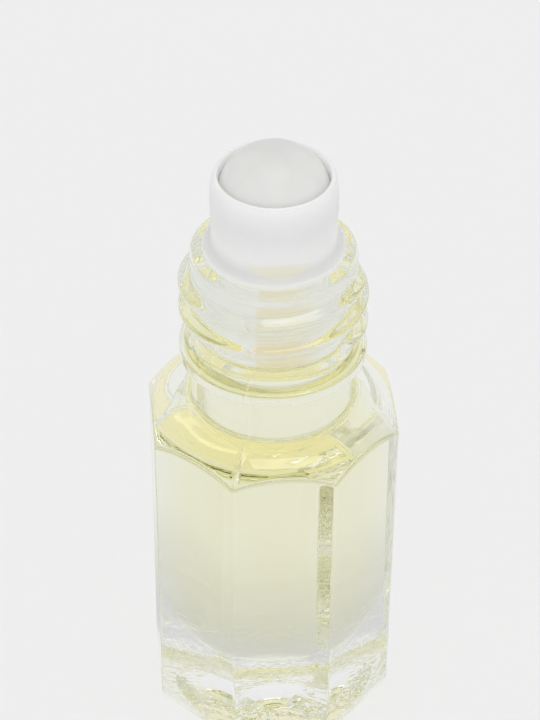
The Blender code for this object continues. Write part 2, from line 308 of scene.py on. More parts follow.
# Camera
CAMERA_AZIMUTH = math.radians(-5.643)
CAMERA_ELEVATION = math.radians(39.849)
CAMERA_ROLL = math.radians(0.44)
CAMERA_DISTANCE = 0.168385
CAMERA_AIM_SIDE = -0.000191
CAMERA_AIM_HEIGHT = 0.03056
CAMERA_LENS = 121.98
SENSOR_LONG_SIDE = 36.0
CLIP_START = 0.01
CLIP_END = 10.0


def shoulder_height(radius):
    """Height of the shoulder at this distance from the axis: round, and level where it starts."""
    return SHOULDER_CENTRE + np.sqrt(SHOULDER_ROUND**2 - np.square(radius - SHOULDER_START))


def even_steps(start, end, steps):
    """The places where so many even steps start and end."""
    return np.linspace(start, end, steps + 1)


def arc(centre, radii, start, end, steps):
    """Points (radius, height) along an arc of a circle or an ellipse, both ends included."""
    points = []
    for angle in even_steps(start, end, steps):
        points.append((centre[0] + radii[0] * math.cos(angle), centre[1] + radii[1] * math.sin(angle)))
    return points


# Meshes from rings of points


def column_angles():
    """Directions of a ring's points: even across each face, closer together round each edge."""
    rounding_start = math.atan((APOTHEM - EDGE_RADIUS) * math.tan(HALF_FACE_ANGLE) / APOTHEM)
    across = even_steps(-rounding_start, rounding_start, FACE_COLUMNS)
    round_edge = even_steps(rounding_start, 2 * HALF_FACE_ANGLE - rounding_start, EDGE_COLUMNS)
    angles = []
    for face in range(FACES):
        middle = 2 * HALF_FACE_ANGLE * face
        angles.extend(middle + across)
        angles.extend(middle + round_edge[1:-1])
    return np.array(angles)


def octagon_radius(angles, apothem):
    """Distance from the axis to the side of an octagon with rounded edges, in each direction."""
    off_middle = np.abs((angles + HALF_FACE_ANGLE) % (2 * HALF_FACE_ANGLE) - HALF_FACE_ANGLE)
    flat_half_width = (apothem - EDGE_RADIUS) * math.tan(HALF_FACE_ANGLE)
    centre = (apothem - EDGE_RADIUS) / math.cos(HALF_FACE_ANGLE)
    off_edge = HALF_FACE_ANGLE - off_middle
    inside = np.maximum(EDGE_RADIUS**2 - (centre * np.sin(off_edge)) ** 2, 0.0)
    rounded = centre * np.cos(off_edge) + np.sqrt(inside)
    return np.where(apothem * np.tan(off_middle) <= flat_half_width, apothem / np.cos(off_middle), rounded)


def mesh_object(name, mesh):
    obj = bpy.data.objects.new(name, mesh)
    bpy.context.scene.collection.objects.link(obj)
    return obj


def even_angles(columns):
    return np.arange(columns) * TURN / columns


def ring_points(angles, rings):
    """Points of rings of (radius, height), one ring after another."""
    count = len(angles)
    radius = np.array([np.broadcast_to(r, count) for r, _ in rings])
    height = np.array([np.broadcast_to(z, count) for _, z in rings])
    return np.stack([radius * np.cos(angles), radius * np.sin(angles), height], axis=-1).reshape(-1, 3)


def ring_faces(rings, columns, loop=False):
    """Faces between neighbouring rings of points, and in a loop also between the last ring and the first."""
    faces = []
    for row in range(rings if loop else rings - 1):
        lower = row * columns
        upper = (row + 1) % rings * columns
        for i in range(columns):
            j = (i + 1) % columns
            faces.append((lower + i, lower + j, upper + j, upper + i))
    return faces


def skin_through(angles, rings, first_height, last_height):
    """Vertices and faces of a skin through rings of (radius, height), closed on the axis at both ends."""
    columns = len(angles)
    points = np.vstack([ring_points(angles, rings), [[0, 0, first_height], [0, 0, last_height]]])
    first, last = len(points) - 2, len(points) - 1
    faces = ring_faces(len(rings), columns)
    top = (len(rings) - 1) * columns
    for i in range(columns):
        j = (i + 1) % columns
        faces.append((first, j, i))
        faces.append((top + i, top + j, last))
    return points, faces


def turned_loop(name, profile, columns):
    """A closed ring turned from a closed profile of (radius, height) that runs up its outer side."""
    points = ring_points(even_angles(columns), profile)
    mesh = bpy.data.meshes.new(name)
    mesh.from_pydata(points.tolist(), [], ring_faces(len(profile), columns, loop=True))
    return mesh


# Uneven surfaces


def ripple(angles, heights, seed):
    """A smooth uneven field of about unit size over directions and heights, the same at each run."""
    random = np.random.default_rng(seed)
    total = 0.0
    for _ in range(RIPPLE_WAVES):
        lobes = random.integers(*RIPPLE_LOBES)
        per_metre = random.uniform(*RIPPLE_PER_METRE)
        phase = random.uniform(0.0, TURN)
        total = total + np.cos(lobes * angles + per_metre * heights + phase)
    return total / math.sqrt(RIPPLE_WAVES)


def seam_profile(angles, radius):
    """The mould seam's height over the surface, for points at this distance from the axis."""
    total = 0.0
    for seam in SEAM_ANGLES:
        away = ((angles - seam + math.pi) % TURN - math.pi) * radius
        total = total + SEAM_HEIGHT * np.exp(-((away / SEAM_WIDTH) ** 2))
    return total


def hammered(angles, radius):
    """Height of the uneven ring moulded into the base, which is highest near its inner edge."""
    random = np.random.default_rng(HAMMERED_SEED)
    total = 0.0
    for _ in range(HAMMERED_WAVES):
        turned = random.uniform(0.0, TURN)
        per_metre = TURN / random.uniform(*HAMMERED_WAVELENGTHS)
        phase = random.uniform(0.0, TURN)
        total = total + np.cos(per_metre * radius * np.cos(angles - turned) + phase)
    rise = np.clip(0.5 + HAMMERED_CONTRAST * total / math.sqrt(HAMMERED_WAVES), 0.0, HAMMERED_PEAK)
    inner = np.clip((radius - HAMMERED_START) / HAMMERED_FADE, 0.0, 1.0)
    outer = np.clip((HAMMERED_END - radius) / (HAMMERED_END - HAMMERED_START), 0.0, 1.0)
    off_faint = np.abs((angles - HAMMERED_FAINT + math.pi) % TURN - math.pi)
    clear = np.clip(off_faint / HAMMERED_FAINT_SPAN, HAMMERED_FAINT_SHARE, 1.0)
    return HAMMERED_DEPTH * rise * inner * outer * clear


# Glass bottle


def base_rings(angles):
    """The underside, outwards: push-up, bearing face and heel, with the uneven ring over them."""
    rings = []
    for share in even_steps(PUSH_UP_START, 1.0, PUSH_UP_STEPS):
        radius = PUSH_UP_RADIUS * share
        height = PUSH_UP_DEPTH * (1 - share**2) + hammered(angles, radius)
        rings.append((radius, height))
    bearing = octagon_radius(angles, APOTHEM - HEEL_RADIUS)
    for share in even_steps(0.0, 1.0, BEARING_STEPS)[1:-1]:
        radius = PUSH_UP_RADIUS + (bearing - PUSH_UP_RADIUS) * share
        rings.append((radius, hammered(angles, radius)))
    middle = (APOTHEM - HEEL_RADIUS, HEEL_RADIUS)
    for apothem, height in arc(middle, (HEEL_RADIUS, HEEL_RADIUS), -math.pi / 2, 0.0, HEEL_STEPS):
        radius = octagon_radius(angles, apothem)
        rings.append((radius, height + hammered(angles, radius)))
    return rings


def wall_rings(angles):
    """The faces of the body, the worn edge at their top and the shoulder up to the neck."""
    edge = octagon_radius(angles, APOTHEM)
    # The seam's faint foot is cut off, so that it adds nothing to the faces beside it
    seam = np.maximum(seam_profile(angles, APOTHEM) - SEAM_HEIGHT * SEAM_CUT_SHARE, 0.0)
    centre_radius = edge - SHOULDER_EDGE
    off_start = centre_radius - SHOULDER_START
    centre_height = SHOULDER_CENTRE + np.sqrt((SHOULDER_ROUND - SHOULDER_EDGE) ** 2 - off_start**2)
    rings = []
    for share in even_steps(0.0, 1.0, BODY_STEPS)[1:]:
        height = HEEL_RADIUS + (centre_height - HEEL_RADIUS) * share
        swell = min(1.0, FACE_RIPPLE_FADE * share, FACE_RIPPLE_FADE * (1 - share))
        side = edge - FACE_RIPPLE * swell * np.maximum(1 + ripple(angles, height, FACE_RIPPLE_SEED), 0.0)
        rings.append((side + SEAM_EDGE_SHARE * swell * seam, height))
    shoulder_turn = np.arctan2(centre_height - SHOULDER_CENTRE, off_start)
    for share in even_steps(0.0, 1.0, SHOULDER_EDGE_STEPS)[1:]:
        turn = shoulder_turn * share
        radius = centre_radius + SHOULDER_EDGE * np.cos(turn)
        rings.append((radius, centre_height + SHOULDER_EDGE * np.sin(turn)))
    shoulder_edge = rings[-1][0]
    foot = NECK_RADIUS + NECK_FILLET
    for share in even_steps(0.0, 1.0, SHOULDER_STEPS)[1:-1]:
        radius = shoulder_edge + (foot - shoulder_edge) * share
        rings.append((radius, shoulder_height(radius) + seam_profile(angles, radius)))
    return rings


def reach_share(off, above, below):
    """How far off a middle, as a share of the reach above it or below it."""
    return np.where(off > 0, off / above, -off / below)


def thread_relief(angles, height):
    """How far the thread stands out from the neck's root at this height."""
    total = np.zeros_like(angles)
    first_turn = ((THREAD_TOP_ANGLE - angles) % TURN) / TURN
    for whole_turns in range(math.ceil(THREAD_TURNS) + 1):
        turn = first_turn + whole_turns
        middle = RIM_HEIGHT - THREAD_SETBACK - THREAD_PITCH * turn
        off = np.minimum(reach_share(height - middle, THREAD_RISE, THREAD_FALL), 1.0)
        ends = np.minimum(turn, THREAD_TURNS - turn) / THREAD_FADE_TURNS
        fade = np.clip(ends, 0.0, 1.0)
        fade = fade * fade * (3 - 2 * fade)
        ridge = THREAD_HEIGHT * (0.5 + 0.5 * np.cos(math.pi * off)) ** THREAD_FULLNESS * fade
        total = np.maximum(total, ridge)
    for seam in SEAM_ANGLES:
        away = (angles - seam + math.pi) % TURN - math.pi
        total = total * (1 - SEAM_NOTCH_SHARE * np.exp(-((away / SEAM_NOTCH_ANGLE) ** 2)))
    return total


def bead_profile():
    """The bead under the thread, upwards: a slanting underside, an upright face and a long sloping top."""
    outer = NECK_RADIUS + BEAD_HEIGHT
    top = BEAD_FOOT + BEAD_WIDTH
    corners = [
        (NECK_RADIUS, BEAD_FOOT),
        (outer, BEAD_FOOT + BEAD_UNDERSIDE),
        (outer, top - BEAD_SLOPE),
        (NECK_RADIUS, top),
    ]
    profile = [corners[0]]
    for before, corner, after in zip(corners, corners[1:], corners[2:]):
        start = Vector(corner) + BEAD_ROUNDING * (Vector(before) - Vector(corner)).normalized()
        end = Vector(corner) + BEAD_ROUNDING * (Vector(after) - Vector(corner)).normalized()
        for share in even_steps(0.0, 1.0, BEAD_STEPS):
            first = start.lerp(Vector(corner), share)
            profile.append(tuple(first.lerp(Vector(corner).lerp(end, share), share)))
    profile.append(corners[-1])
    return profile


def neck_rings(angles):
    """The neck's outer side, upwards: fillet, waist, bead, thread and the rounded rim."""
    foot = NECK_RADIUS + NECK_FILLET
    foot_height = float(shoulder_height(foot)) + NECK_FILLET
    fillet = (NECK_FILLET, NECK_FILLET)
    rings = arc((foot, foot_height), fillet, 1.5 * math.pi, math.pi, NECK_FILLET_STEPS)
    for height in even_steps(foot_height, BEAD_FOOT, WAIST_STEPS)[1:-1]:
        rings.append((NECK_RADIUS, height))
    rings += bead_profile()
    thread_foot = BEAD_FOOT + BEAD_WIDTH
    thread_head = RIM_HEIGHT - RIM_ROUNDING
    for height in even_steps(thread_foot, thread_head, THREAD_STEPS)[1:-1]:
        rings.append((NECK_RADIUS + thread_relief(angles, height), height))
    rings = [(r + seam_profile(angles, NECK_RADIUS), z) for r, z in rings]
    rounding = (RIM_ROUNDING, RIM_ROUNDING)
    rings += arc((NECK_RADIUS - RIM_ROUNDING, thread_head), rounding, 0.0, math.pi / 2, RIM_STEPS)
    rings += arc((BORE_RADIUS + RIM_ROUNDING, thread_head), rounding, math.pi / 2, math.pi, RIM_STEPS)
    return rings


def bore_rings(top, bottom):
    steps = max(2, round((top - bottom) / BORE_STEP))
    return [(BORE_RADIUS, height) for height in even_steps(top, bottom, steps)]


def hollow_rings(angles):
    """The hollow's wall, from the end of the bore down to its floor."""
    top = CEILING_HEIGHT + CEILING_FILLET
    bottom = CEILING_HEIGHT - CEILING_ROUND
    fillet = (CEILING_FILLET, CEILING_FILLET)
    rings = arc((CEILING_START, top), fillet, math.pi, 1.5 * math.pi, CEILING_FILLET_STEPS)[1:]
    ceiling = (CAVITY_RADIUS - CEILING_START, CEILING_ROUND)
    rings += arc((CEILING_START, bottom), ceiling, math.pi / 2, 0.0, CEILING_STEPS)[1:]
    floor_edge = BASE_THICKNESS + FLOOR_CORNER_RADIUS
    for height in even_steps(bottom, floor_edge, HOLLOW_STEPS)[1:-1]:
        rings.append((CAVITY_RADIUS, height))
    floor_radius = CAVITY_RADIUS - FLOOR_CORNER_RADIUS
    corner = (FLOOR_CORNER_RADIUS, FLOOR_CORNER_RADIUS)
    rings += arc((floor_radius, floor_edge), corner, 0.0, -math.pi / 2, FLOOR_CORNER_STEPS)
    uneven = []
    for radius, height in rings:
        strength = min(1.0, (top - height) / HOLLOW_RIPPLE_START) * min(1.0, radius / CAVITY_RADIUS)
        inwards = HOLLOW_RIPPLE * strength * (1 + ripple(angles, height, HOLLOW_RIPPLE_SEED))
        uneven.append((radius - inwards, height))
    for radius in even_steps(floor_radius, 0.0, FLOOR_STEPS)[1:-1]:
        uneven.append((radius, BASE_THICKNESS))
    return uneven


def inner_rings(angles):
    """The bore below the oil's rim on the glass, then the hollow."""
    return bore_rings(OIL_LEVEL + MENISCUS, CEILING_HEIGHT + CEILING_FILLET) + hollow_rings(angles)


def glass_slots(base, dry, wet, columns):
    """Each face's material: clear outside, grained on the base's uneven ring, wetted inside."""
    clear, wetted, grained = range(3)
    smooth = sum(np.max(radius) < HAMMERED_START for radius, _ in base)
    banded = (len(dry) + len(wet) - 1) * columns
    slots = np.full(banded + 2 * columns, clear, dtype=np.int32)
    slots[smooth * columns : len(base) * columns] = grained
    slots[len(dry) * columns : banded] = wetted
    # The faces at the axis take turns: one under the base, one on the hollow's floor
    slots[banded + 1 :: 2] = wetted
    return slots


def glass_bottle(angles):
    base = base_rings(angles)
    dry = base + wall_rings(angles) + neck_rings(angles)
    wet = bore_rings(RIM_HEIGHT - RIM_ROUNDING, OIL_LEVEL + MENISCUS)[1:-1] + inner_rings(angles)
    points, faces = skin_through(angles, dry + wet, PUSH_UP_DEPTH, BASE_THICKNESS)
    mesh = bpy.data.meshes.new("clear_glass_bottle")
    mesh.from_pydata(points.tolist(), [], faces)
    mesh.polygons.foreach_set("material_index", glass_slots(base, dry, wet, len(angles)))
    mesh.shade_smooth()
    mesh.materials.append(glass_material("clear_glass", GLASS_INDEX, GLASS_WAVES, GLASS_DEPTH))
    mesh.materials.append(glass_material("wetted_glass", GLASS_INDEX / OIL_INDEX, GLASS_WAVES, GLASS_DEPTH))
    mesh.materials.append(glass_material("grained_glass", GLASS_INDEX, GRAIN_WAVES, GRAIN_DEPTH))
    bottle = mesh_object("clear_glass_bottle", mesh)
    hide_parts("glass_bottle")
    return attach(bottle, "bottle")


# Oil


def oil_body(angles):
    """The oil's own skin just inside the hollow, from its floor up to just under its top."""
    rings = [(np.broadcast_to(r, len(angles)), z) for r, z in inner_rings(angles)]
    rings = [(r, z) for r, z in rings if z < OIL_LEVEL]
    rings.insert(0, (np.full(len(angles), BORE_RADIUS), OIL_LEVEL - OIL_SKIN))
    floor = BASE_THICKNESS + OIL_GAP
    inset = [(r - OIL_GAP * np.minimum(1.0, r / BORE_RADIUS), max(z, floor)) for r, z in rings]
    top = [(inset[0][0] * share, OIL_LEVEL - OIL_SKIN) for share in OIL_SHARES]
    return skin_through(angles, inset[::-1] + top, floor, OIL_LEVEL - OIL_SKIN)


def oil_top(angles):
    """A thin closed skin on the oil, which curves up at the glass, and the number of its lower rings."""
    upper = []
    lower = []
    for share in even_steps(0.0, 1.0, OIL_STEPS)[1:]:
        radius = (BORE_RADIUS - OIL_GAP) * share
        rise = MENISCUS * math.exp(-MENISCUS_DECAY * (BORE_RADIUS - radius) / MENISCUS_WIDTH)
        upper.append((radius, OIL_LEVEL + rise))
        lower.append((radius, OIL_LEVEL - OIL_SKIN + OIL_GAP))
    points, faces = skin_through(angles, lower + upper[::-1], lower[0][1], OIL_LEVEL)
    return points, faces, len(lower)


def perfume_oil(angles):
    points, faces = oil_body(angles)
    skin_points, skin_faces, lower_rings = oil_top(angles)
    moved = [tuple(len(points) + i for i in face) for face in skin_faces]
    mesh = bpy.data.meshes.new("pale_yellow_oil")
    mesh.from_pydata(points.tolist() + skin_points.tolist(), [], faces + moved)
    mesh.shade_smooth()
    mesh.set_sharp_from_angle(angle=OIL_SHARP_ANGLE)
    inside, underside, top = range(3)
    slots = np.full(len(mesh.polygons), inside, dtype=np.int32)
    first = len(faces)
    columns = len(angles)
    slots[first:] = underside
    slots[first + lower_rings * columns :] = top
    # The faces at the axis take turns: one under the skin, one on its top
    slots[first + (2 * lower_rings - 1) * columns :: 2] = underside
    mesh.polygons.foreach_set("material_index", slots)
    mesh.materials.append(oil_material("perfume_oil", 1.0, True))
    mesh.materials.append(oil_material("oil_skin_underside", 1.0, False))
    mesh.materials.append(oil_material("oil_skin", OIL_INDEX, False))
    oil = mesh_object("pale_yellow_oil", mesh)
    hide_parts("perfume_oil")
    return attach(oil, "bottle")


# Ball housing


def skirt_profile(inner, outer):
    """The skirt's lower end and its outer side with the ribs, up to the flange."""
    profile = [
        (inner, -SKIRT_LENGTH),
        (outer - SKIRT_CHAMFER, -SKIRT_LENGTH),
        (outer, SKIRT_CHAMFER - SKIRT_LENGTH),
    ]
    for rib in range(RIBS, 0, -1):
        middle = (outer, -RIB_SPACING * rib)
        profile += arc(middle, (RIB_HEIGHT, RIB_WIDTH / 2), -math.pi / 2, math.pi / 2, RIB_STEPS)
    profile.append((outer, SEAT_GAP))
    return profile


def flange_profile():
    """The flange's edge and the fillet at the foot of the housing's wall."""
    top = SEAT_GAP + FLANGE_THICKNESS
    rounding = FLANGE_THICKNESS / 3
    profile = [(FLANGE_RADIUS - rounding / 3, SEAT_GAP)]
    edge = (FLANGE_RADIUS - rounding, top - rounding)
    profile += arc(edge, (rounding, rounding), 0.0, math.pi / 2, FLANGE_STEPS)
    foot = (HOUSING_RADIUS - HOUSING_TAPER + FLANGE_FILLET, top + FLANGE_FILLET)
    fillet = (FLANGE_FILLET, FLANGE_FILLET)
    return profile + arc(foot, fillet, 1.5 * math.pi, math.pi, FLANGE_FILLET_STEPS)


def housing_profile():
    """The housing's section as a closed loop of (radius, height) over the rim, up the outer side."""
    from_rim = BALL_HEIGHT - RIM_HEIGHT
    outer = BORE_RADIUS - SKIRT_CLEARANCE - RIB_HEIGHT
    inner = outer - SKIRT_WALL
    tip = LIP_WALL / 2
    lip_outer = LIP_RADIUS + LIP_WALL
    reach = (HOUSING_RADIUS - lip_outer, LIP_RISE - tip)
    crown = arc((lip_outer, from_rim), reach, 0.0, math.pi / 2, CROWN_STEPS)
    lip = arc((LIP_RADIUS + tip, from_rim + LIP_RISE - tip), (tip, tip), 0.0, math.pi, LIP_STEPS)
    start = math.acos(LIP_RADIUS / SOCKET_RADIUS)
    end = -math.acos(FEED_RADIUS / SOCKET_RADIUS)
    socket = arc((0.0, from_rim), (SOCKET_RADIUS, SOCKET_RADIUS), start, end, SOCKET_STEPS)
    underside = from_rim - BALL_RADIUS - BALL_CLEARANCE - SOCKET_FLOOR
    outside = skirt_profile(inner, outer) + flange_profile() + crown[:-1]
    return outside + lip + socket + [(FEED_RADIUS, underside), (inner, underside)]


def housing_slot(radius, height):
    """The housing's material at a point of its section: frosted, wetted up to the rim, thin in the lip."""
    frosted, wetted, thin = range(3)
    if height <= RIM_HEIGHT:
        return wetted
    if radius < LIP_RADIUS + LIP_WALL and height > BALL_HEIGHT:
        return thin
    return frosted


def ball_housing():
    profile = [(r, z + RIM_HEIGHT) for r, z in housing_profile()]
    mesh = turned_loop("frosted_housing", profile, HOUSING_COLUMNS)
    mesh.shade_smooth()
    mesh.set_sharp_from_angle(angle=HOUSING_SHARP_ANGLE)
    mesh.materials.append(housing_material())
    mesh.materials.append(skirt_material())
    mesh.materials.append(lip_material())
    rows = np.array([housing_slot(radius, height) for radius, height in profile], dtype=np.int32)
    mesh.polygons.foreach_set("material_index", np.repeat(rows, HOUSING_COLUMNS))
    housing = mesh_object("frosted_housing", mesh)
    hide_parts("ball_housing")
    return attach(housing, "housing")


def roller_ball():
    middle = (0.0, BALL_HEIGHT)
    rings = arc(middle, (BALL_RADIUS, BALL_RADIUS), -math.pi / 2, math.pi / 2, BALL_ROWS)[1:-1]
    points, faces = skin_through(even_angles(BALL_COLUMNS), rings, BALL_LOW.z, BALL_HIGH.z)
    mesh = bpy.data.meshes.new("satin_ball")
    mesh.from_pydata(points.tolist(), [], faces)
    mesh.shade_smooth()
    mesh.materials.append(ball_material())
    ball = mesh_object("satin_ball", mesh)
    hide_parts("roller_ball")
    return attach(ball, "ball")


# Materials


def new_material(name):
    material = bpy.data.materials.new(name)
    material.use_nodes = True
    nodes = material.node_tree.nodes
    return material, nodes, material.node_tree.links, nodes["Principled BSDF"]


def noise(nodes, links, scale):
    """Noise over the piece's own coordinates, at so many waves per metre."""
    coordinates = nodes.new("ShaderNodeTexCoord")
    texture = nodes.new("ShaderNodeTexNoise")
    texture.inputs["Scale"].default_value = scale
    texture.inputs["Detail"].default_value = NOISE_DETAIL
    links.new(coordinates.outputs["Object"], texture.inputs["Vector"])
    return texture.outputs["Fac"]


def between(nodes, links, factor, low, high):
    """Maps noise to values from low to high."""
    mapped = nodes.new("ShaderNodeMapRange")
    mapped.inputs["From Min"].default_value = NOISE_LOW
    mapped.inputs["From Max"].default_value = NOISE_HIGH
    mapped.inputs["To Min"].default_value = low
    mapped.inputs["To Max"].default_value = high
    links.new(factor, mapped.inputs["Value"])
    return mapped.outputs["Result"]


def mottled(nodes, links, scale, dark, light):
    """A colour that wanders between two, led by noise at so many waves per metre."""
    mix = nodes.new("ShaderNodeMix")
    mix.data_type = "RGBA"
    mix.inputs["A"].default_value = (*dark, 1.0)
    mix.inputs["B"].default_value = (*light, 1.0)
    links.new(between(nodes, links, noise(nodes, links, scale), 0.0, 1.0), mix.inputs["Factor"])
    return mix.outputs["Result"]


def painted(nodes, links, share, under, over):
    """A plain colour over what lies under it, by this share."""
    mix = nodes.new("ShaderNodeMix")
    mix.data_type = "RGBA"
    mix.inputs["B"].default_value = (*over, 1.0)
    links.new(share, mix.inputs["Factor"])
    links.new(under, mix.inputs["A"])
    return mix.outputs["Result"]


def mixed(nodes, links, share, under, over):
    """One shader over another, by this share."""
    mix = nodes.new("ShaderNodeMixShader")
    links.new(share, mix.inputs["Fac"])
    links.new(under, mix.inputs[1])
    links.new(over, mix.inputs[2])
    return mix.outputs["Shader"]


def bump(nodes, links, factor, depth):
    """A normal that follows noise of this depth in metres."""
    node = nodes.new("ShaderNodeBump")
    node.inputs["Distance"].default_value = depth
    links.new(factor, node.inputs["Height"])
    return node.outputs["Normal"]


def maths(nodes, links, operation, *values):
    """One step of arithmetic on numbers or sockets."""
    node = nodes.new("ShaderNodeMath")
    node.operation = operation
    for socket, value in zip(node.inputs, values):
        if isinstance(value, (int, float)):
            socket.default_value = value
        else:
            links.new(value, socket)
    return node.outputs["Value"]


def ramp(nodes, links, value, start, end):
    """A smooth share from 0 at the start to 1 at the end, which may lie below it."""
    mapped = nodes.new("ShaderNodeMapRange")
    mapped.interpolation_type = "SMOOTHSTEP"
    mapped.inputs["From Min"].default_value = min(start, end)
    mapped.inputs["From Max"].default_value = max(start, end)
    mapped.inputs["To Min"].default_value = float(start > end)
    mapped.inputs["To Max"].default_value = float(start < end)
    links.new(value, mapped.inputs["Value"])
    return mapped.outputs["Result"]


def glass_material(name, ior, waves, depth):
    """Clear moulded glass with a faint bump. ior is its index over that of what lies on its other side."""
    material, nodes, links, shader = new_material(name)
    shader.inputs["Transmission Weight"].default_value = 1.0
    shader.inputs["Roughness"].default_value = 0.0
    shader.inputs["IOR"].default_value = ior
    links.new(mottled(nodes, links, GLASS_MOTTLE, GLASS_DARK, GLASS_LIGHT), shader.inputs["Base Color"])
    links.new(bump(nodes, links, noise(nodes, links, waves), depth), shader.inputs["Normal"])
    return material


def oil_material(name, ior, body):
    """Clear oil. ior is its index over that of what lies on its other side, and body gives it colour."""
    material, nodes, links, shader = new_material(name)
    shader.inputs["Base Color"].default_value = WHITE
    shader.inputs["Transmission Weight"].default_value = 1.0
    shader.inputs["Roughness"].default_value = 0.0
    shader.inputs["IOR"].default_value = ior
    if body:
        absorption = nodes.new("ShaderNodeVolumeAbsorption")
        absorption.inputs["Color"].default_value = (*OIL_COLOUR, 1.0)
        absorption.inputs["Density"].default_value = OIL_DENSITY
        links.new(absorption.outputs["Volume"], nodes["Material Output"].inputs["Volume"])
    return material


def plastic_material(name, dark, light, roughness, scatter_depth):
    """Natural translucent plastic with a faint moulded texture."""
    material, nodes, links, shader = new_material(name)
    links.new(mottled(nodes, links, PLASTIC_MOTTLE, dark, light), shader.inputs["Base Color"])
    smoothest, roughest = roughness - PLASTIC_ROUGH_SPREAD, roughness + PLASTIC_ROUGH_SPREAD
    rough = between(nodes, links, noise(nodes, links, PLASTIC_ROUGH_WAVES), smoothest, roughest)
    links.new(rough, shader.inputs["Roughness"])
    shader.inputs["IOR"].default_value = PLASTIC_INDEX
    shader.inputs["Subsurface Weight"].default_value = 1.0
    shader.inputs["Subsurface Scale"].default_value = scatter_depth
    shader.inputs["Subsurface Radius"].default_value = PLASTIC_SCATTER
    grain = bump(nodes, links, noise(nodes, links, PLASTIC_WAVES), PLASTIC_DEPTH)
    links.new(grain, shader.inputs["Normal"])
    return material


def frosted_plastic(name):
    return plastic_material(name, HOUSING_DARK, HOUSING_LIGHT, HOUSING_ROUGHNESS, HOUSING_SCATTER_DEPTH)


def place_of(nodes, links):
    """The piece's own coordinates as three numbers."""
    coordinates = nodes.new("ShaderNodeTexCoord")
    split = nodes.new("ShaderNodeSeparateXYZ")
    links.new(coordinates.outputs["Object"], split.inputs["Vector"])
    return [split.outputs[axis] for axis in "XYZ"]


def housing_glow_share(nodes, links):
    """1 in the middle of the oval of painted light on the housing's front, the oil's yellow light through
    the plastic, and 0 from its edge on.
    """
    x, y, z = place_of(nodes, links)
    across = maths(nodes, links, "POWER", maths(nodes, links, "DIVIDE", x, HOUSING_GLOW_HALF_WIDTH), 2.0)
    up = maths(nodes, links, "DIVIDE", maths(nodes, links, "SUBTRACT", z, HOUSING_GLOW_HEIGHT), HOUSING_GLOW_HALF_HEIGHT)
    off_middle = maths(nodes, links, "ADD", across, maths(nodes, links, "POWER", up, 2.0))
    oval = ramp(nodes, links, off_middle, 1.0, 0.0)
    in_front = ramp(nodes, links, y, 0.0, -HOUSING_GLOW_FRONT)
    return maths(nodes, links, "MULTIPLY", oval, in_front)


def housing_material():
    """Frosted plastic with painted shade over the rim and the oil's yellow light painted as an oval in
    front.
    """
    material = frosted_plastic("frosted_plastic")
    nodes, links = material.node_tree.nodes, material.node_tree.links
    colour = nodes["Principled BSDF"].inputs["Base Color"]
    height = place_of(nodes, links)[2]
    # Painted shade, darker over the flange
    low = ramp(nodes, links, height, RIM_HEIGHT + FLANGE_SHADE_HEIGHT, RIM_HEIGHT + FLANGE_THICKNESS)
    shaded = painted(nodes, links, low, colour.links[0].from_socket, FLANGE_SHADE)
    # Painted light: the oil's yellow glow as an oval in front
    links.new(painted(nodes, links, housing_glow_share(nodes, links), shaded, HOUSING_OIL_GLOW), colour)
    return material


def lip_material():
    """The same plastic inside the lip, with a faint painted glow in place of the room's light that comes
    through where it is so thin.
    """
    material = frosted_plastic("thin_lip")
    shader = material.node_tree.nodes["Principled BSDF"]
    shader.inputs["Emission Color"].default_value = WHITE
    shader.inputs["Emission Strength"].default_value = LIP_GLOW
    return material


def oil_light_bands(nodes, links):
    """Share of the painted light on the skirt, the oil's yellow light through the plastic: bands between the
    ribs and the skirt's end, in front.
    """
    x, y, z = place_of(nodes, links)
    across = maths(nodes, links, "MULTIPLY", x, -math.sin(SEAM_ANGLES[0]))
    off_seam = maths(nodes, links, "MULTIPLY_ADD", y, math.cos(SEAM_ANGLES[0]), across)
    beside = ramp(nodes, links, off_seam, 0.0, OIL_LIGHT_BAND_EDGE)
    in_front = ramp(nodes, links, y, -OIL_LIGHT_BAND_BACK * BORE_RADIUS, -BORE_RADIUS)
    start = -TURN * (RIM_HEIGHT % RIB_SPACING) / RIB_SPACING
    turn = maths(nodes, links, "MULTIPLY_ADD", z, TURN / RIB_SPACING, start)
    wave = maths(nodes, links, "COSINE", turn)
    bands = maths(nodes, links, "MULTIPLY_ADD", wave, -OIL_LIGHT_BAND_SHARE / 2, OIL_LIGHT_BAND_SHARE / 2)
    skirt_end = RIM_HEIGHT - SKIRT_LENGTH
    end = ramp(nodes, links, z, skirt_end + RIB_SPACING, skirt_end + RIB_SPACING / 2)
    lit_bands = maths(nodes, links, "MAXIMUM", bands, end)
    return maths(nodes, links, "MULTIPLY", maths(nodes, links, "MULTIPLY", beside, in_front), lit_bands)


def skirt_material():
    """The same plastic where a film of oil joins it to the glass, with the oil's yellow light painted in
    bands between its ribs on one side.
    """
    material, nodes, links, shader = new_material("wetted_plastic")
    white = mottled(nodes, links, PLASTIC_MOTTLE, SKIRT_DARK, SKIRT_LIGHT)
    # Painted light: the oil's yellow light through the plastic, in bands
    oil_lit = painted(nodes, links, oil_light_bands(nodes, links), white, SKIRT_OIL_LIGHT)
    links.new(oil_lit, shader.inputs["Base Color"])
    shader.inputs["Roughness"].default_value = SKIRT_ROUGHNESS
    shader.inputs["IOR"].default_value = SKIRT_INDEX
    shader.inputs["Transmission Weight"].default_value = SKIRT_CLEARNESS
    return material


def ball_material():
    return plastic_material("ball_plastic", BALL_DARK, BALL_LIGHT, BALL_ROUGHNESS, BALL_SCATTER_DEPTH)


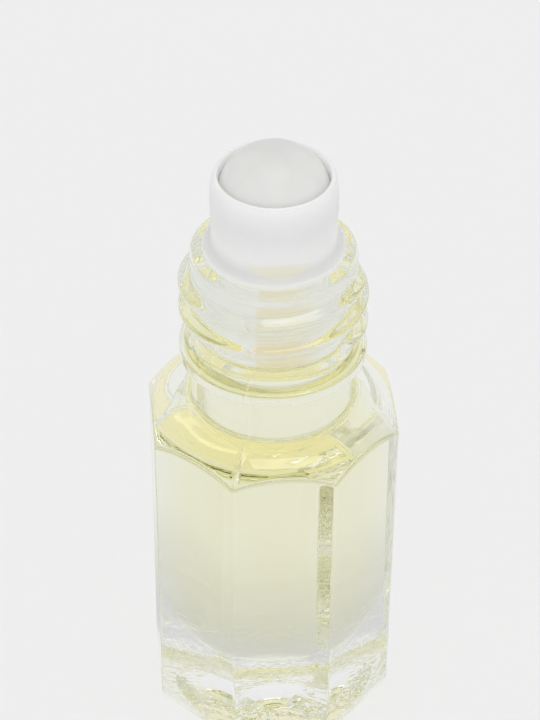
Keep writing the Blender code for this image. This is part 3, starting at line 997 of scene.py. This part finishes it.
def around(nodes, links, place, sides):
    """The pale background in each direction round the bottle, darker at its sides."""
    split = nodes.new("ShaderNodeSeparateXYZ")
    links.new(place, split.inputs["Vector"])
    sideways = maths(nodes, links, "ABSOLUTE", split.outputs["X"])
    turn = maths(nodes, links, "ARCTAN2", sideways, split.outputs["Y"])
    share = maths(nodes, links, "DIVIDE", turn, math.pi)
    colours = nodes.new("ShaderNodeValToRGB")
    colours.color_ramp.interpolation = "EASE"
    stops = colours.color_ramp.elements
    stops.new(SIDES_TURNS[1])
    stops.new(SIDES_TURNS[2])
    for stop, position, colour in zip(stops, SIDES_TURNS, (BACKGROUND, sides, sides, BACKGROUND)):
        stop.position = position
        stop.color = (*colour, 1.0)
    links.new(share, colours.inputs["Fac"])
    return colours.outputs["Color"]


def shadow_share(nodes, links, away):
    """How much light the floor keeps at this distance from the axis, less under the bottle."""
    shadow = nodes.new("ShaderNodeMapRange")
    shadow.interpolation_type = "SMOOTHSTEP"
    shadow.inputs["From Min"].default_value = SHADOW_START
    shadow.inputs["From Max"].default_value = SHADOW_END
    shadow.inputs["To Min"].default_value = SHADOW_SHARE
    shadow.inputs["To Max"].default_value = 1.0
    links.new(away, shadow.inputs["Value"])
    return shadow.outputs["Result"]


def floor_colour(nodes, links):
    """The floor's pale colour as the glass, the matt surfaces and the eye see it.

    In the glass it has painted shade at its sides and a painted shadow round the bottle, painted yellow
    light under the bottle and painted bright light round its foot.
    """
    place = nodes.new("ShaderNodeTexCoord").outputs["Object"]
    length = nodes.new("ShaderNodeVectorMath")
    length.operation = "LENGTH"
    links.new(place, length.inputs[0])
    away = length.outputs["Value"]
    shaded = nodes.new("ShaderNodeVectorMath")
    shaded.operation = "SCALE"
    links.new(around(nodes, links, place, FLOOR_SIDES), shaded.inputs[0])
    links.new(shadow_share(nodes, links, away), shaded.inputs["Scale"])
    near = ramp(nodes, links, away, FLOOR_NEAR_END, FLOOR_NEAR_START)
    under = maths(nodes, links, "LESS_THAN", away, FLOOR_UNDER_RADIUS)
    rays = nodes.new("ShaderNodeLightPath").outputs
    lit = maths(nodes, links, "GREATER_THAN", rays["Diffuse Depth"], 0.5)
    to_eye = rays["Is Camera Ray"]
    colour = shaded.outputs["Vector"]
    layers = ((near, FLOOR_NEAR), (under, FLOOR_UNDER), (lit, BACKGROUND), (to_eye, FLOOR_SEEN))
    for share, over in layers:
        colour = painted(nodes, links, share, colour, over)
    return colour


def floor_material():
    """A matt pale floor with a soft shadow, which shows the pale background to the eye and in the glass."""
    material, nodes, links, shader = new_material("pale_floor")
    links.new(mottled(nodes, links, FLOOR_MOTTLE, FLOOR_DARK, FLOOR_LIGHT), shader.inputs["Base Color"])
    shader.inputs["Roughness"].default_value = FLOOR_ROUGHNESS
    shader.inputs["Specular IOR Level"].default_value = 0.0
    pale = nodes.new("ShaderNodeEmission")
    links.new(floor_colour(nodes, links), pale.inputs["Color"])
    rays = nodes.new("ShaderNodeLightPath").outputs
    by_glass = maths(nodes, links, "MAXIMUM", rays["Is Transmission Ray"], rays["Is Glossy Ray"])
    in_glass = maths(nodes, links, "MULTIPLY", by_glass, FLOOR_PALE_IN_GLASS)
    share = maths(nodes, links, "MULTIPLY_ADD", rays["Is Camera Ray"], FLOOR_PALE_SEEN, in_glass)
    shown = mixed(nodes, links, share, shader.outputs["BSDF"], pale.outputs["Emission"])
    links.new(shown, nodes["Material Output"].inputs["Surface"])
    return material


# Floor, light and camera


def pale_floor():
    mesh = bpy.data.meshes.new("pale_floor")
    corners = []
    for x, y in ((-1, -1), (1, -1), (1, 1), (-1, 1)):
        corners.append((x * FLOOR_HALF, y * FLOOR_HALF, -FLOOR_BELOW))
    mesh.from_pydata(corners, [], [(0, 1, 2, 3)])
    mesh.materials.append(floor_material())
    mesh_object("pale_floor", mesh)


def panel_share(nodes, links, place):
    """1 in the directions of the oblong light panel overhead, which gloss mirrors, and 0 elsewhere."""
    split = nodes.new("ShaderNodeSeparateXYZ")
    links.new(place, split.inputs["Vector"])
    share = ramp(nodes, links, split.outputs["Z"], 0.0, PANEL_EDGE)
    for axis, middle, half in zip("XY", PANEL_MIDDLE, PANEL_HALF):
        off = maths(nodes, links, "ABSOLUTE", maths(nodes, links, "SUBTRACT", split.outputs[axis], middle))
        share = maths(nodes, links, "MULTIPLY", share, ramp(nodes, links, off, half + PANEL_EDGE, half))
    return share


def room_light(nodes, links, place):
    """The light on matt surfaces, from all round and weakest from above and behind."""
    light = nodes["Background"]
    light.inputs["Color"].default_value = WHITE
    dim = nodes.new("ShaderNodeVectorMath")
    dim.operation = "DOT_PRODUCT"
    dim.inputs[1].default_value = ROOM_LIGHT_DIM
    links.new(place, dim.inputs[0])
    share = maths(nodes, links, "MAXIMUM", dim.outputs["Value"], 0.0)
    strength = maths(nodes, links, "MULTIPLY_ADD", share, ROOM_LIGHT_TOP - ROOM_LIGHT, ROOM_LIGHT)
    links.new(strength, light.inputs["Strength"])
    return light.outputs["Background"]


def room_in_glass(nodes, links, place, glossy):
    """The pale room as the glass sees it, darker at the sides, with the light panel in its gloss."""
    seen = nodes.new("ShaderNodeBackground")
    links.new(around(nodes, links, place, ROOM_SIDES), seen.inputs["Color"])
    panel = maths(nodes, links, "MULTIPLY", panel_share(nodes, links, place), glossy)
    links.new(maths(nodes, links, "MULTIPLY_ADD", panel, PANEL_LIGHT, 1.0), seen.inputs["Strength"])
    return seen.outputs["Background"]


def studio_world():
    """The room's light, the room as the glass sees it, and the plain background as the eye sees it."""
    world = bpy.data.worlds.new("studio")
    bpy.context.scene.world = world
    world.use_nodes = True
    nodes = world.node_tree.nodes
    links = world.node_tree.links
    place = nodes.new("ShaderNodeTexCoord").outputs["Generated"]
    rays = nodes.new("ShaderNodeLightPath").outputs
    plain = nodes.new("ShaderNodeBackground")
    plain.inputs["Color"].default_value = (*BACKGROUND, 1.0)
    lit = maths(nodes, links, "GREATER_THAN", rays["Diffuse Depth"], 0.5)
    in_glass = room_in_glass(nodes, links, place, rays["Is Glossy Ray"])
    shown = mixed(nodes, links, lit, in_glass, room_light(nodes, links, place))
    shown = mixed(nodes, links, rays["Is Camera Ray"], shown, plain.outputs["Background"])
    links.new(shown, nodes["World Output"].inputs["Surface"])


def camera():
    """The camera at the place that was fitted to the photograph."""
    back = Vector((0.0, -math.cos(CAMERA_ELEVATION), math.sin(CAMERA_ELEVATION)))
    right = Vector((1.0, 0.0, 0.0))
    up = Vector((0.0, math.sin(CAMERA_ELEVATION), math.cos(CAMERA_ELEVATION)))
    rolled_right = math.cos(CAMERA_ROLL) * right + math.sin(CAMERA_ROLL) * up
    rolled_up = math.cos(CAMERA_ROLL) * up - math.sin(CAMERA_ROLL) * right
    spot = Vector((CAMERA_AIM_SIDE, 0.0, CAMERA_AIM_HEIGHT)) + CAMERA_DISTANCE * back
    axes = Matrix((rolled_right, rolled_up, back)).transposed().to_4x4()
    turn = Matrix.Rotation(CAMERA_AZIMUTH, 4, "Z")
    data = bpy.data.cameras.new("camera")
    data.lens = CAMERA_LENS
    data.sensor_width = SENSOR_LONG_SIDE
    data.clip_start = CLIP_START
    data.clip_end = CLIP_END
    seen_from = bpy.data.objects.new("camera", data)
    bpy.context.scene.collection.objects.link(seen_from)
    seen_from.matrix_world = turn @ Matrix.Translation(spot) @ axes
    bpy.context.scene.camera = seen_from


def light_paths():
    """Room for the many turns that light takes in the glass."""
    scene = bpy.context.scene
    scene.view_settings.view_transform = "Standard"
    scene.cycles.max_bounces = 32
    scene.cycles.transmission_bounces = 28
    scene.cycles.glossy_bounces = 20
    scene.cycles.diffuse_bounces = 12
    scene.cycles.blur_glossy = 0.0


def build():
    angles = column_angles()
    glass_bottle(angles)
    perfume_oil(angles)
    ball_housing()
    roller_ball()
    pale_floor()
    studio_world()
    camera()
    light_paths()


build()
